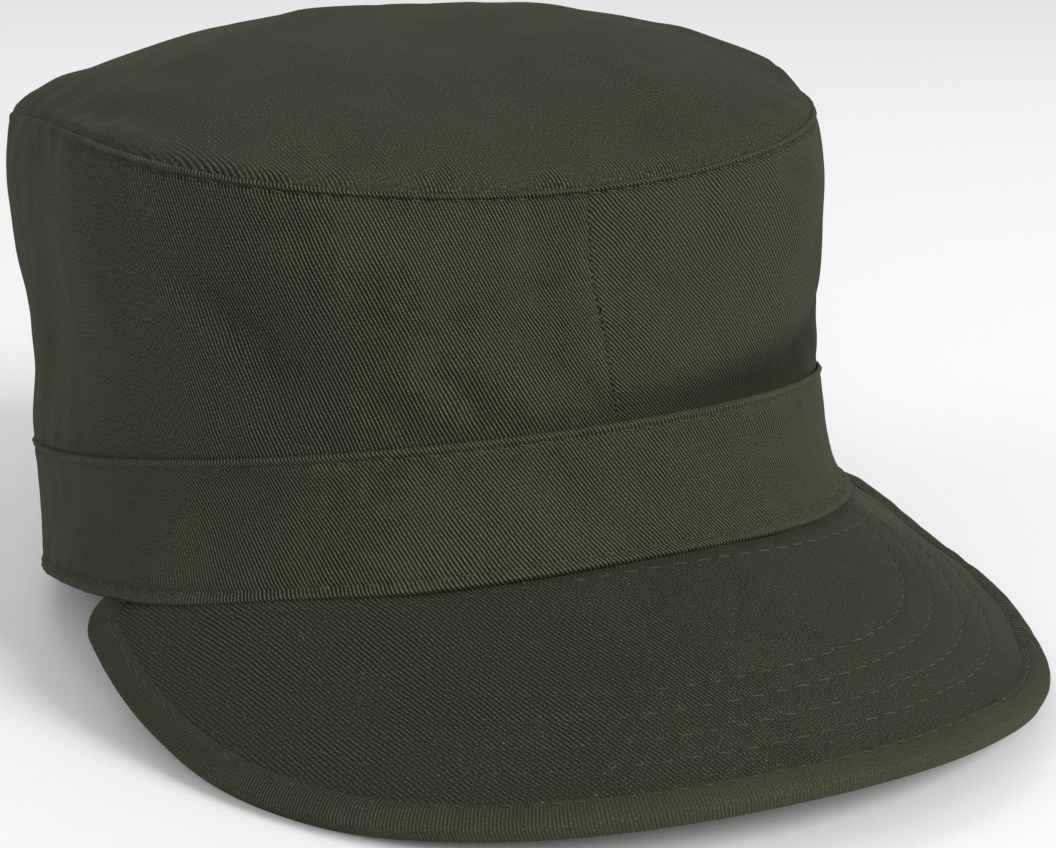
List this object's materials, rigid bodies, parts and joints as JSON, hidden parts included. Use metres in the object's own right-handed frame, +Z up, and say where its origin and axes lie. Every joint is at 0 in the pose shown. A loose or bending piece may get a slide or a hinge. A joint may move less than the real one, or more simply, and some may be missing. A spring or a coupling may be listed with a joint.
{
  "type": "fatigue cap",
  "caption": "Soft cotton twill field cap with a domed oval top, upright side wall, plain band and an arched stitched visor with a bound edge.",
  "frame": {"origin": "on the surface that the cap stands on, under the middle of its overall box", "axes": "-Y forwards, the way the visor points; +X towards the wearer's left; +Z up from the surface"},
  "size_m": [0.1872, 0.2668, 0.126],
  "materials": {
    "top_twill": "matt olive drab cotton twill, faintly faded",
    "crown_twill": "matt olive drab cotton twill with a steep open wale",
    "band_twill": "matt olive drab cotton twill, doubled, edges topstitched",
    "visor_twill": "matt olive drab cotton twill, close rows of topstitching",
    "binding_twill": "matt olive drab cotton twill cut on the bias"
  },
  "bodies": {
    "root": {"crown_top": "top_twill", "crown_side_left": "crown_twill", "crown_side_right": "crown_twill", "band": "band_twill", "visor": "visor_twill", "visor_binding": "binding_twill"}
  },
  "joints": []
}
